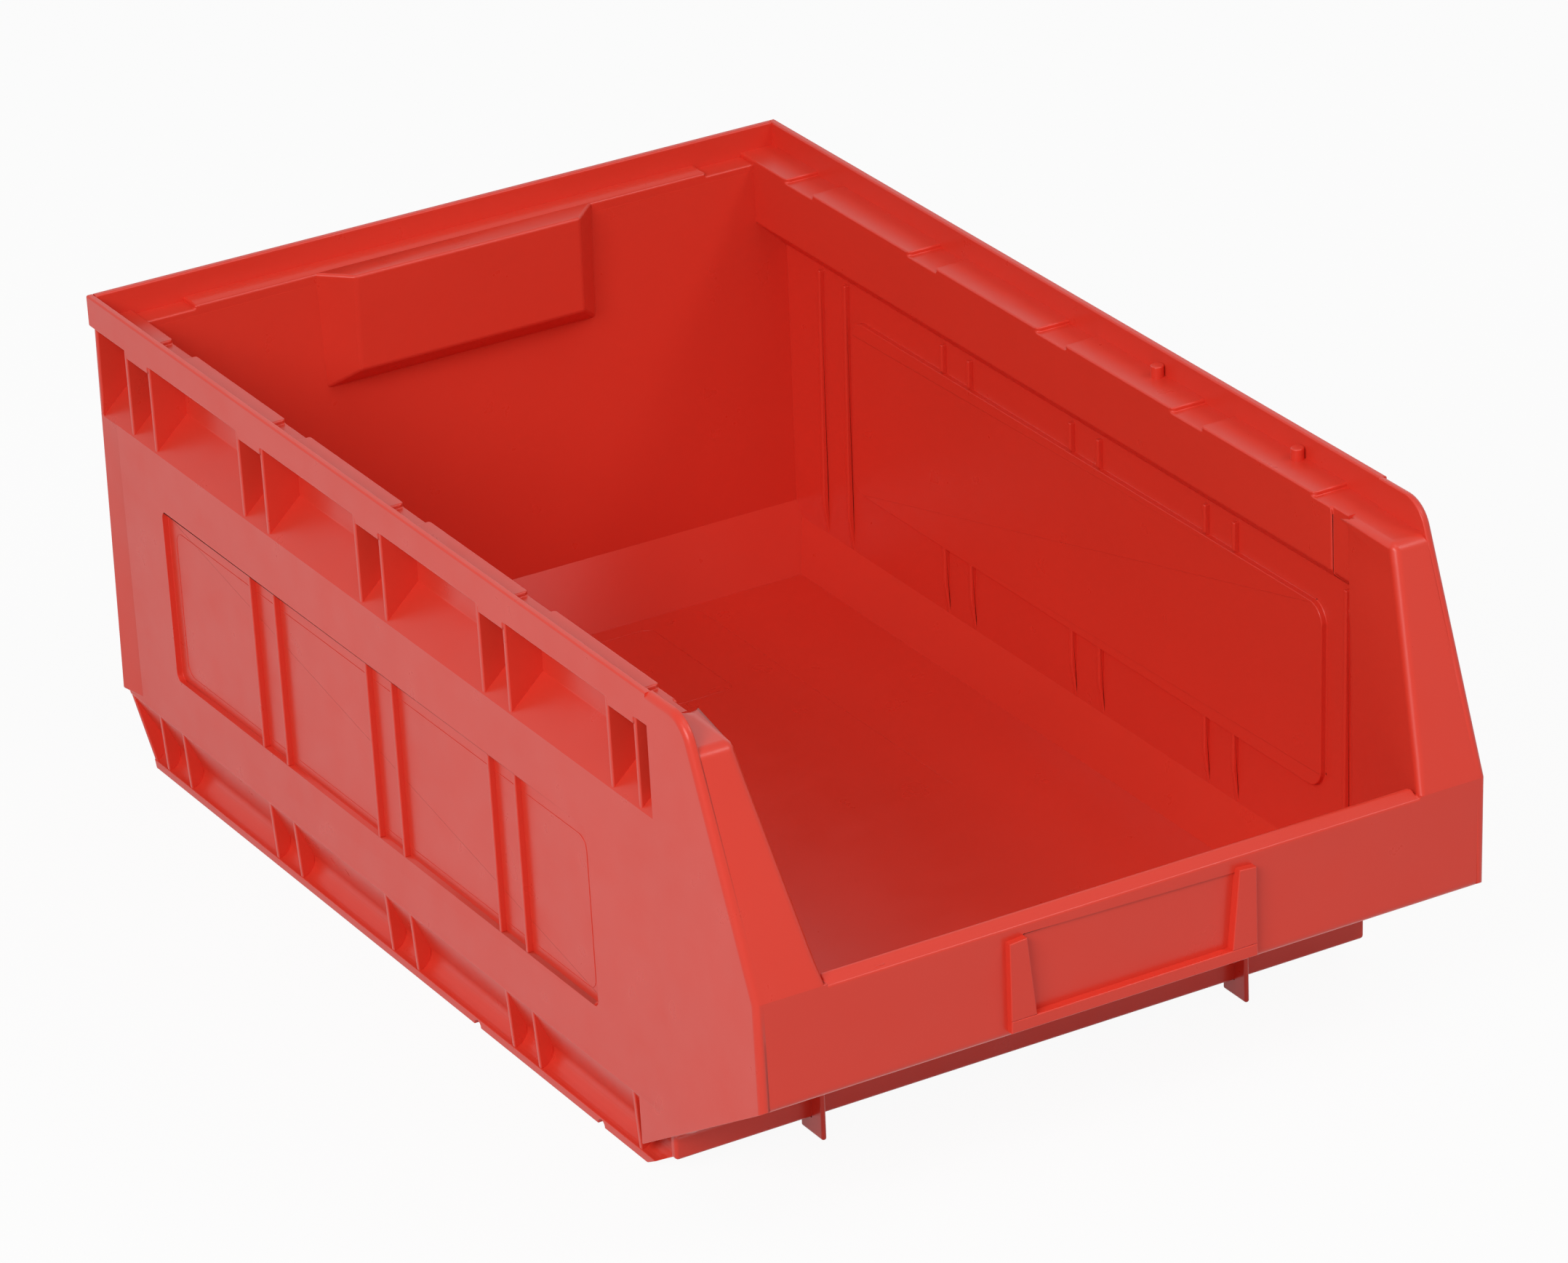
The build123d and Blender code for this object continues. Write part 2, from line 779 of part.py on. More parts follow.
def gussets_side():
    """Gusset webs between the cove and the skirt of the right side."""
    filled = Polyline([(side_out(cove_top) - 0.2, 0, cove_top - 1.6), (skirt_half - 0.3, 0, skirt_lip),
                       (skirt_half - 14, 0, skirt_lip), (skirt_half - 14, 0, cove_top - 1.6)],
                      close=True)
    face = make_face(filled)
    keep_out = base_run(0, rear_end)
    inner_x = side_in(cove_top) - cove_run
    inside = prism_y([(0, 0), (inner_x + 1.5, 0), (inner_x + 1.5, floor_top + 1),
                      (side_in(cove_top), cove_top), (0, cove_top)], 0, rear_end)
    plates = []
    places = [p for y in pair_places() for p in (y, y - rib_gap)][:-1]
    for y in places:
        plate = extrude(Pos(0, y - gusset_wall / 2, 0) * face, amount=gusset_wall, dir=(0, 1, 0))
        pieces = plate - keep_out - inside
        plates.append(pieces.solids().sort_by(Axis.X)[-1])
    closing = extrude(Pos(0, skirt_back - cove_run, 0) * face, amount=far, dir=(0, 1, 0))
    closing &= rear_profile()
    closing -= Pos(0, -gusset_wall, 0) * rear_profile()
    pieces = closing - keep_out - inside
    plates.append(pieces.solids().sort_by(Axis.X)[-1])
    return plates


def hooks():
    """Two stacking hooks under the front edge of the floor."""
    points = [
        (hook_front, hook_foot),
        (hook_front + hook_length, hook_foot),
        (hook_front + hook_length, floor_under),
        (hook_front, lip_bottom),
    ]
    below = prism_x([(0, lip_bottom), (nose_foot, floor_under + nose_step),
                     (nose_foot, floor_under), (far, floor_under), (far, 0), (0, 0)],
                    -half_width, half_width)
    plates = []
    for x in (-hook_place, hook_place):
        plate = prism_x(points, x - hook_wall / 2, x + hook_wall / 2)
        plates.append(plate & below)
    return plates


def solids_of(shape):
    if isinstance(shape, (list, tuple)):
        return [s for item in shape for s in solids_of(item)]
    return list(shape.solids())


def write(name, shape):
    """Write one region, moved so that its origin is under the middle of the bin."""
    solids = solids_of(shape)
    moved = [Pos(0, -middle, 0) * s for s in solids]
    body = moved[0] if len(moved) == 1 else Compound(children=moved)
    export_step(body, "parts/" + name + ".step")


def write_pair(name, shape):
    right = solids_of(shape)
    write("right_" + name, right)
    write("left_" + name, [mirrored(s) for s in right])


def main():
    os.makedirs("parts", exist_ok=True)
    write_pair("rim_strip", rim_side())
    write("back_rim_strip", rim_back())
    write_pair("ledge", ledge_side())
    write("back_ledge", ledge_back())
    write_pair("pegs", pegs_side())
    write_pair("upper_band", upper_band())
    write_pair("side_wall", side_wall())
    write_pair("panel_ribs", panel_ribs())
    write_pair("inner_ribs", inner_ribs())
    write_pair("pocket_webs", webs_side())
    write_pair("rear_fin", rear_fin())
    cove, skirt = side_base()
    write_pair("cove", cove)
    write_pair("skirt", skirt)
    write_pair("gussets", gussets_side())
    back_cove, back_skirt = back_base()
    write("back_cove", back_cove)
    write("back_skirt", back_skirt)
    write("floor_pan", floor_pan())
    write("back_wall", back_wall())
    write("grip_boss", grip_boss())
    write_pair("cheek", cheek())
    write_pair("front_post", front_post())
    write("nose", nose())
    write("front_lip", front_lip())
    write_pair("label_rail", label_rail())
    write("label_sill", label_sill_bar())
    write("stacking_hooks", hooks())


main()
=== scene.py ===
import math

import bmesh
import bpy
from mathutils import Matrix, Vector
from mathutils.bvhtree import BVHTree


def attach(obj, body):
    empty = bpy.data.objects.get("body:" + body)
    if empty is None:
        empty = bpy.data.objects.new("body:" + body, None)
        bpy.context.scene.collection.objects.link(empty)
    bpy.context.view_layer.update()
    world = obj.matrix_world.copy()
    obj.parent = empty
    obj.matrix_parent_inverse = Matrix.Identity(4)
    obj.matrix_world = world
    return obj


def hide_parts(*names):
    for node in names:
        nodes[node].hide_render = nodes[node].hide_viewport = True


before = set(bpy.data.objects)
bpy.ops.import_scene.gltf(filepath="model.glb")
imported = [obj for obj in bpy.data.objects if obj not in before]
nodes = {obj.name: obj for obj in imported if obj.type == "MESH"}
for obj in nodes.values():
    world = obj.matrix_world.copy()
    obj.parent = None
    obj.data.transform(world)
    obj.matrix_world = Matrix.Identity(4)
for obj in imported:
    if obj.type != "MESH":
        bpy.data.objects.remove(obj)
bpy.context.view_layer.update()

scene = bpy.context.scene


# small helpers shared by every piece

def hexToLinear(code):
    # sRGB hex to the linear numbers that the shader wants
    channels = [int(code[i:i + 2], 16) / 255 for i in (1, 3, 5)]
    linear = [c / 12.92 if c <= 0.04045 else ((c + 0.055) / 1.055) ** 2.4 for c in channels]
    return (*linear, 1.0)


def addNode(tree, kind, settings=None, inputs=None, links=None):
    # one node with its settings, its input values and its incoming links
    node = tree.nodes.new(kind)
    for name, value in (settings or {}).items():
        setattr(node, name, value)
    for key, value in (inputs or {}).items():
        node.inputs[key].default_value = value
    for key, socket in (links or {}).items():
        tree.links.new(socket, node.inputs[key])
    return node


def linkToScene(obj):
    scene.collection.objects.link(obj)
    return obj


# camera, at the photo's angle

cameraSettings = {
    "target": (0.005014, -0.016, 0.112583),
    "distance": 2.94137,
    "yaw": -30.113,
    "pitch": -25.348,
    "roll": -2.300,
    "focalPixels": 10828.78,
    "imageWidth": 2156,
    "imageHeight": 1736,
    "centrePixel": (1103.34, 865.22),
}


def buildCamera(s):
    yaw, pitch, roll = (math.radians(s[k]) for k in ("yaw", "pitch", "roll"))
    forward = Vector((math.sin(-yaw) * math.cos(pitch), math.cos(-yaw) * math.cos(pitch),
                      math.sin(pitch)))
    right = forward.cross(Vector((0, 0, 1))).normalized()
    up = right.cross(forward)
    rolledRight = right * math.cos(roll) + up * math.sin(roll)
    rolledUp = up * math.cos(roll) - right * math.sin(roll)
    place = Vector(s["target"]) - forward * s["distance"]
    data = bpy.data.cameras.new("photoCamera")
    data.sensor_width = 36.0
    data.lens = s["focalPixels"] * data.sensor_width / s["imageWidth"]
    data.shift_x = (s["imageWidth"] / 2 - s["centrePixel"][0]) / s["imageWidth"]
    data.shift_y = (s["centrePixel"][1] - s["imageHeight"] / 2) / s["imageWidth"]
    data.clip_start = 0.1
    data.clip_end = 30.0
    camera = linkToScene(bpy.data.objects.new("photoCamera", data))
    turn = Matrix((rolledRight, rolledUp, -forward)).transposed()
    camera.matrix_world = Matrix.Translation(place) @ turn.to_4x4()
    scene.camera = camera


buildCamera(cameraSettings)
print("camera set")


# satin red polypropylene, injection moulded

plasticLook = {
    "colour": "#E23F2E",
    "roughness": 0.3,
    "glossier": 0.03,      # how far the haze moves the roughness down and up
    "duller": 0.07,
    "specular": 0.36,
    "ior": 1.49,
    "subsurface": 0.05,
    "subsurfaceMm": 2.0,
    "subsurfaceColours": (1.0, 0.25, 0.2),     # red light goes deepest
    "grainMm": 3.0,        # spark texture of the mould, drawn coarser than it is so that it shows
    "grainDepthMm": 0.02,
    "grainStrength": 0.12,
    "swirlMm": 70.0,       # slow flow marks in the plastic
    "swirlDarkness": 0.93,
    "hazeMm": 16.0,        # dull patches left by handling
    "hazeFrom": 0.3,       # part of the noise that makes them
    "hazeTo": 0.75,
}


def moulded(look):
    # polypropylene from a spark-textured mould: even orange-red, broad soft gloss, faint flow marks
    material = bpy.data.materials.new("satinRedPolypropylene")
    material.use_nodes = True
    tree = material.node_tree
    tree.nodes.clear()
    coords = addNode(tree, "ShaderNodeTexCoord")
    where = {"Vector": coords.outputs["Object"]}
    flow, haze, grain = (
        addNode(tree, "ShaderNodeTexNoise", inputs={"Scale": 1000 / look[size], "Detail": detail},
                links=where)
        for size, detail in (("swirlMm", 3.0), ("hazeMm", 5.0), ("grainMm", 2.0)))
    base = hexToLinear(look["colour"])
    deeper = tuple(c * look["swirlDarkness"] for c in base[:3]) + (1.0,)
    body = addNode(tree, "ShaderNodeMix", {"data_type": "RGBA"}, {6: deeper, 7: base},
                   {0: flow.outputs["Fac"]})
    gloss = addNode(tree, "ShaderNodeMapRange",
                    inputs={"From Min": look["hazeFrom"], "From Max": look["hazeTo"],
                            "To Min": look["roughness"] - look["glossier"],
                            "To Max": look["roughness"] + look["duller"]},
                    links={"Value": haze.outputs["Fac"]})
    bump = addNode(tree, "ShaderNodeBump",
                   inputs={"Strength": look["grainStrength"], "Distance": look["grainDepthMm"] / 1000},
                   links={"Height": grain.outputs["Fac"]})
    shader = addNode(tree, "ShaderNodeBsdfPrincipled",
                     inputs={"IOR": look["ior"], "Specular IOR Level": look["specular"],
                             "Subsurface Weight": look["subsurface"],
                             "Subsurface Scale": look["subsurfaceMm"] / 1000,
                             "Subsurface Radius": look["subsurfaceColours"]},
                     links={"Base Color": body.outputs[2], "Roughness": gloss.outputs["Result"],
                            "Normal": bump.outputs["Normal"]})
    addNode(tree, "ShaderNodeOutputMaterial", links={"Surface": shader.outputs["BSDF"]})
    return material


redPlastic = moulded(plasticLook)
print("plastic mixed")


# finishing: the modifiers end in a plain mesh at the origin, which takes its place in the frame

def bakedPiece(draft, name, replaced):
    normals = draft.modifiers.new("flatFaces", "WEIGHTED_NORMAL")
    normals.keep_sharp = True
    graph = bpy.context.evaluated_depsgraph_get()
    finished = bpy.data.meshes.new_from_object(draft.evaluated_get(graph), depsgraph=graph)
    bpy.data.objects.remove(draft)
    piece = linkToScene(bpy.data.objects.new(name, finished))
    finished.materials.clear()
    finished.materials.append(redPlastic)
    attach(piece, "root")
    if replaced:
        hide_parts(*replaced)
    return piece


# every region of the moulding gets the radii that the mould leaves on its free edges

edgeRounding = {
    "segments": 4,
    "sharpFrom": 22.0,     # degrees
    "flatness": 0.4,       # degrees within which neighbouring triangles are one face
    "twisted": ["left_front_post", "right_front_post", "left_rear_fin", "right_rear_fin"],
    "twistedFlatness": 14.0,
    "twistedFrom": 0.0001, # metres off one plane
    "stripMm": 9.0,        # height of the strips that a twisted face is cut into
    "onPlane": 1e-6,       # metres within which a corner lies on a cut
    "reach": 0.00025,      # metres inside and above a face where its cover is looked for
    "weld": 2e-6,          # metres within which corners are one
    "probes": (0.12, 0.5, 0.88),   # places along an edge where its cover is looked for
    "coverSearch": 0.0006, # metres within which a neighbouring region's face is looked for
    "coverDepth": 1e-7,    # metres under that face from which a point counts as inside
    "alone": 0.9,          # share of a side edge that one rounding may use, by what it meets
    "outerBesideOuter": 0.46,
    "outerBesideInner": 0.7,
    "innerBesideOuter": 0.22,
    "innerBesideInner": 0.46,
    "usual": 0.0008,
    "byRegion": {          # radii in metres where they are larger or smaller
        "left_ledge": 0.0022, "right_ledge": 0.0022, "back_ledge": 0.0013,
        "left_front_post": 0.0036, "right_front_post": 0.0036,
        "front_lip": 0.0027, "grip_boss": 0.0013, "nose": 0.0014,
        "left_side_wall": 0.0018, "right_side_wall": 0.0018,
        "left_label_rail": 0.0004, "right_label_rail": 0.0004, "label_sill": 0.0004,
        "stacking_hooks": 0.0009,
    },
}


def isTwisted(face, s):
    # true if the corners don't lie in one plane
    middle = face.calc_center_median()
    furthest = max(abs((v.co - middle).dot(face.normal)) for v in face.verts)
    return furthest > s["twistedFrom"]


def cutIntoStrips(bm, face, s):
    # level cuts through one twisted face; each strip between them is nearly flat
    heights = [v.co.z for v in face.verts]
    low, high = min(heights), max(heights)
    count = max(2, round((high - low) / (s["stripMm"] / 1000)))
    pieces = [face]
    for i in range(1, count):
        around = set(pieces)
        for piece in pieces:
            around.update(piece.edges)
            around.update(piece.verts)
        cut = bmesh.ops.bisect_plane(bm, geom=list(around), dist=s["onPlane"],
                                     plane_no=(0, 0, 1),
                                     plane_co=(0, 0, low + (high - low) * i / count))
        pieces = [g for g in cut["geom"] if isinstance(g, bmesh.types.BMFace)]


def mergedMesh(name, node, s):
    # the node's triangles welded and flattened into whole faces
    flatness = s["twistedFlatness"] if name in s["twisted"] else s["flatness"]
    bm = bmesh.new()
    bm.from_mesh(node.data)
    bmesh.ops.remove_doubles(bm, verts=bm.verts, dist=s["weld"])
    bmesh.ops.dissolve_limit(bm, angle_limit=math.radians(flatness), verts=bm.verts, edges=bm.edges)
    bm.normal_update()
    if name in s["twisted"]:
        for face in [f for f in bm.faces if isTwisted(f, s)]:
            cutIntoStrips(bm, face, s)
        bm.normal_update()
    return bm


solidsByName = {name: mergedMesh(name, node, edgeRounding) for name, node in nodes.items()}
treesByName = {name: BVHTree.FromBMesh(bm, epsilon=0.0) for name, bm in solidsByName.items()}


def isCovered(point, ownName, s):
    # true if the point lies inside a neighbouring region
    for name, tree in treesByName.items():
        if name == ownName:
            continue
        hit, normal, _, _ = tree.find_nearest(point, s["coverSearch"])
        if hit is not None and (point - hit).dot(normal) < -s["coverDepth"]:
            return True
    return False


def isFree(edge, ownName, s):
    # both faces beside the edge are open to the air along its length
    for face in edge.link_faces:
        along = edge.verts[1].co - edge.verts[0].co
        inwards = face.normal.cross(along).normalized()
        middle = edge.verts[0].co + along * 0.5
        if (face.calc_center_median() - middle).dot(inwards) < 0:
            inwards = -inwards
        for share in s["probes"]:
            spot = edge.verts[0].co + along * share + (inwards + face.normal) * s["reach"]
            if isCovered(spot, ownName, s):
                return False
    return True


def roomFor(edge, kinds, s):
    # the widest rounding that leaves its neighbours theirs; outer corners get more than inner ones
    outer = kinds[edge] == "outer"
    room = 1.0
    for corner in edge.verts:
        for side in corner.link_edges:
            if side is edge:
                continue
            far = side.other_vert(corner)
            meets = {kinds.get(e) for e in far.link_edges if e is not side} - {None}
            if not meets:
                share = s["alone"]
            elif outer:
                share = s["outerBesideOuter"] if "outer" in meets else s["outerBesideInner"]
            else:
                share = s["innerBesideOuter"] if "outer" in meets else s["innerBesideInner"]
            room = min(room, side.calc_length() * share)
    return room


def roundedPiece(name, s):
    bm = solidsByName[name].copy()
    width = s["byRegion"].get(name, s["usual"])
    weights = bm.edges.layers.float.new("bevel_weight_edge")
    kinds = {}
    for edge in bm.edges:
        edge.smooth = len(edge.link_faces) == 2
        if edge.smooth and edge.calc_face_angle(0.0) >= math.radians(s["sharpFrom"]):
            if isFree(edge, name, s):
                kinds[edge] = "outer" if edge.is_convex else "inner"
            else:
                edge.smooth = False
    for edge in kinds:
        edge[weights] = min(1.0, roomFor(edge, kinds, s) / width)
    for face in bm.faces:
        face.smooth = True
    mesh = bpy.data.meshes.new(name + "Skin")
    bm.to_mesh(mesh)
    bm.free()
    draft = linkToScene(bpy.data.objects.new(name + "Draft", mesh))
    bevel = draft.modifiers.new("edges", "BEVEL")
    bevel.width = width
    bevel.segments = s["segments"]
    bevel.limit_method = "WEIGHT"
    bevel.use_clamp_overlap = False
    bevel.miter_outer = "MITER_ARC"
    return bakedPiece(draft, name + "Moulded", [name])


ribNodes = [side + name for side in ("left_", "right_")
            for name in ("pocket_webs", "gussets", "inner_ribs", "panel_ribs")]
for name in nodes:
    if name not in ribNodes:
        roundedPiece(name, edgeRounding)
print("regions rounded:", len(nodes) - len(ribNodes))


# ribs, webs and gussets: one is drawn, a node tree repeats it in pairs along the side

ribSizes = {
    "pairs": 5,
    "firstMm": 464.5,      # rearmost web, from the front face
    "pitchMm": 92.9,
    "gapMm": 19.6,
    "innerShiftMm": 11.5,  # inner ribs stand this much in front of the webs
    "middleMm": 246.0,     # the frame's origin, from the front face
    "halfWidthMm": 155.0,
    "heightMm": 197.0,
    "draft": 0.017805,     # lean of the side wall
    "webs": {"thicknessMm": 2.2, "edgeMm": 0.45,
             "sectionMm": [(139.4, 184.4), (139.4, 161.2), (153.6, 147.8), (154.35, 184.4)]},
    "gussets": {"thicknessMm": 2.0, "edgeMm": 0.4,
                "sectionMm": [(151.0, 28.5), (144.0, 12.2), (144.4, 6.0),
                              (149.2, 2.7), (149.75, 3.2), (151.8, 28.5)]},
    "inner": {"startMm": 0.1, "thicknessMm": 2.0, "edgeMm": 0.55, "wallMm": 3.6, "riseMm": 2.3,
              "fadeMm": 14.0,
              "lowMm": 30.0, "lowEndMm": 60.0, "highStartMm": 133.0, "highMm": 146.4,
              "highFadeMm": 2.0},
    "sunkMm": 0.6,         # how deep a rib's root sits in its wall
    "panel": {"thicknessMm": 1.6, "edgeMm": 0.35, "depthMm": 2.4, "lowMm": 51.5, "highMm": 124.0},
}


keepAll = 99    # more than any row has


def ribRowTree():
    tree = bpy.data.node_groups.new("pairedRibs", "GeometryNodeTree")
    tree.is_modifier = True
    sockets = {}
    for name, kind, default in (("One Rib", "Geometry", None), ("Pairs", "Int", 5),
                                ("Ribs per Pair", "Int", 2), ("First Place", "Float", 0.0), ("Pair Pitch", "Float", 0.09),
                                ("Gap in Pair", "Float", 0.02), ("Kept", "Int", keepAll),
                                ("Plastic", "Material", None)):
        socket = tree.interface.new_socket(name, in_out="INPUT", socket_type="NodeSocket" + kind)
        if default is not None:
            socket.default_value = default
        sockets[name] = socket.identifier
    tree.interface.new_socket("Ribs", in_out="OUTPUT", socket_type="NodeSocketGeometry")
    given = addNode(tree, "NodeGroupInput").outputs
    start = addNode(tree, "ShaderNodeCombineXYZ", links={"Y": given["First Place"]})
    forward = addNode(tree, "ShaderNodeMath", {"operation": "MULTIPLY"}, {1: -1.0},
                      {0: given["Pair Pitch"]})
    pitch = addNode(tree, "ShaderNodeCombineXYZ", links={"Y": forward.outputs[0]})
    nearer = addNode(tree, "ShaderNodeMath", {"operation": "MULTIPLY"}, {1: -1.0},
                     {0: given["Gap in Pair"]})
    gap = addNode(tree, "ShaderNodeCombineXYZ", links={"Y": nearer.outputs[0]})
    row = addNode(tree, "GeometryNodeMeshLine",
                  links={"Count": given["Pairs"], "Start Location": start.outputs[0],
                         "Offset": pitch.outputs[0]})
    pair = addNode(tree, "GeometryNodeMeshLine",
                   links={"Count": given["Ribs per Pair"], "Offset": gap.outputs[0]})
    pairs = addNode(tree, "GeometryNodeInstanceOnPoints",
                    links={"Points": row.outputs[0], "Instance": pair.outputs[0]})
    places = addNode(tree, "GeometryNodeRealizeInstances", links={0: pairs.outputs[0]})
    number = addNode(tree, "GeometryNodeInputIndex")
    beyond = addNode(tree, "FunctionNodeCompare",
                     {"data_type": "INT", "operation": "GREATER_EQUAL"},
                     links={2: number.outputs[0], 3: given["Kept"]})
    kept = addNode(tree, "GeometryNodeDeleteGeometry",
                   links={0: places.outputs[0], 1: beyond.outputs[0]})
    ribs = addNode(tree, "GeometryNodeInstanceOnPoints",
                   links={"Points": kept.outputs[0], "Instance": given["One Rib"]})
    plain = addNode(tree, "GeometryNodeRealizeInstances", links={0: ribs.outputs[0]})
    dressed = addNode(tree, "GeometryNodeSetMaterial",
                      links={"Geometry": plain.outputs[0], "Material": given["Plastic"]})
    addNode(tree, "NodeGroupOutput", links={0: dressed.outputs[0]})
    return tree, sockets


ribTree, ribSockets = ribRowTree()


def sideOut(z, s):
    # outer face of the side wall at height z, in mm
    return s["halfWidthMm"] - s["draft"] * (s["heightMm"] - z)


def ribMesh(section, thickness, edge, side, placeOf=None):
    # one rib from its (x, z) outline in mm; placeOf slants it along y
    bm = bmesh.new()
    rings = []
    for half in (-thickness / 2, thickness / 2):
        rings.append([bm.verts.new((side * x / 1000, ((placeOf(z) if placeOf else 0) + half) / 1000,
                                    z / 1000)) for x, z in section])
    bm.faces.new(rings[0])
    bm.faces.new(list(reversed(rings[1])))
    for i in range(len(section)):
        j = (i + 1) % len(section)
        bm.faces.new((rings[0][j], rings[0][i], rings[1][i], rings[1][j]))
    bmesh.ops.recalc_face_normals(bm, faces=bm.faces)
    bmesh.ops.bevel(bm, geom=bm.edges, offset=edge / 1000, segments=2, profile=0.5, affect="EDGES")
    for face in bm.faces:
        face.smooth = True
    mesh = bpy.data.meshes.new("oneRib")
    bm.to_mesh(mesh)
    bm.free()
    return mesh


def ribRow(mesh, s, pairs, perPair, first, kept=keepAll):
    # the tree's result as a plain mesh
    draft = linkToScene(bpy.data.objects.new("ribRow", mesh))
    row = draft.modifiers.new("row", "NODES")
    row.node_group = ribTree
    values = {"Pairs": pairs, "Ribs per Pair": perPair, "Kept": kept, "Plastic": redPlastic,
              "First Place": (first - s["middleMm"]) / 1000,
              "Pair Pitch": s["pitchMm"] / 1000, "Gap in Pair": s["gapMm"] / 1000}
    for name, value in values.items():
        row[ribSockets[name]] = value
    graph = bpy.context.evaluated_depsgraph_get()
    finished = bpy.data.meshes.new_from_object(draft.evaluated_get(graph), depsgraph=graph)
    bpy.data.objects.remove(draft)
    return finished


def joined(meshes, name):
    bm = bmesh.new()
    for mesh in meshes:
        bm.from_mesh(mesh)
    whole = bpy.data.meshes.new(name)
    bm.to_mesh(whole)
    bm.free()
    return linkToScene(bpy.data.objects.new(name, whole))


rearProfile = ((476.5, 3.2), (481.0, 11.0), (491.0, 30.0))    # (y, z) in mm, y from the front face


def rearEnd(z):
    # slanted rear end of the cove and the skirt at height z, in mm
    low, middle, high = rearProfile
    start, end = (middle, high) if z > middle[1] else (low, middle)
    return start[0] + (z - start[1]) * (end[0] - start[0]) / (end[1] - start[1])


def innerRib(z0, z1, fade, s, side):
    own = s["inner"]
    back = own["wallMm"] - s["sunkMm"]
    rise = own["wallMm"] + own["riseMm"]
    section = [(sideOut(z0, s) - back, z0), (sideOut(z1, s) - back, z1),
               (sideOut(z1, s) - rise, z1), (sideOut(z0 + fade, s) - rise, z0 + fade),
               (sideOut(z0, s) - own["wallMm"] - own["startMm"], z0)]
    return ribMesh(section, own["thicknessMm"], own["edgeMm"], side)


def buildRibs(s, side, prefix):
    first, gap, pitch = s["firstMm"], s["gapMm"], s["pitchMm"]
    inner = first - s["innerShiftMm"]
    web = ribMesh(s["webs"]["sectionMm"], s["webs"]["thicknessMm"], s["webs"]["edgeMm"], side)
    bakedPiece(joined([ribRow(web, s, s["pairs"], 2, first)], "webs"),
               prefix + "WebRow", [prefix + "_pocket_webs"])
    plate = s["gussets"]
    gusset = ribMesh(plate["sectionMm"], plate["thicknessMm"], plate["edgeMm"], side)
    closing = ribMesh(plate["sectionMm"], plate["thicknessMm"], plate["edgeMm"], side,
                      lambda z: rearEnd(z) - plate["thicknessMm"] / 2 - s["middleMm"])
    rows = [ribRow(gusset, s, s["pairs"], 2, first, 2 * s["pairs"] - 1), closing]
    bakedPiece(joined(rows, "gussets"), prefix + "GussetRow", [prefix + "_gussets"])
    own = s["inner"]
    full = innerRib(own["lowMm"], own["highMm"], own["fadeMm"], s, side)
    upper = innerRib(own["highStartMm"], own["highMm"], own["highFadeMm"], s, side)
    lower = innerRib(own["lowMm"], own["lowEndMm"], own["fadeMm"], s, side)
    rows = [ribRow(full, s, 1, 2, inner), ribRow(full, s, 1, 1, inner - pitch * (s["pairs"] - 1)),
            ribRow(upper, s, s["pairs"] - 2, 2, inner - pitch),
            ribRow(lower, s, s["pairs"] - 2, 2, inner - pitch)]
    bakedPiece(joined(rows, "innerRibs"), prefix + "InnerRibRow", [prefix + "_inner_ribs"])
    own = s["panel"]
    low, high = own["lowMm"], own["highMm"]
    back = own["depthMm"] + s["sunkMm"]
    section = [(sideOut(low, s) - back, low), (sideOut(high, s) - back, high),
               (sideOut(high, s), high), (sideOut(low, s), low)]
    panel = ribMesh(section, own["thicknessMm"], own["edgeMm"], side)
    bakedPiece(joined([ribRow(panel, s, s["pairs"] - 2, 2, first - pitch)], "panelRibs"),
               prefix + "PanelRibRow", [prefix + "_panel_ribs"])


buildRibs(ribSizes, -1, "left")
buildRibs(ribSizes, 1, "right")
print("ribs, webs and gussets in their rows")


# witness lines of the mould: fine ridges along a path, mm from the front face

witnessLines = {
    "floorFrame": {"pathMm": [(63, 384.7, 11), (63, 452, 11), (-63, 452, 11), (-63, 384.7, 11)],
                   "closed": True, "cornerMm": 5.0, "radiusMm": 0.22},
    "gateMark": {"pathMm": [(-103.6, 1.7, 102.2), (-100.2, 1.7, 102.2), (-100.2, 2.6, 102.2),
                            (-103.6, 2.6, 102.2)],
                 "closed": True, "cornerMm": 0.45, "radiusMm": 0.3},
    "floorSeamRight": {"pathMm": [(88, 262, 11), (88, 455, 11)], "radiusMm": 0.18},
    "floorSeamLeft": {"pathMm": [(-88, 262, 11), (-88, 455, 11)], "radiusMm": 0.18},
}


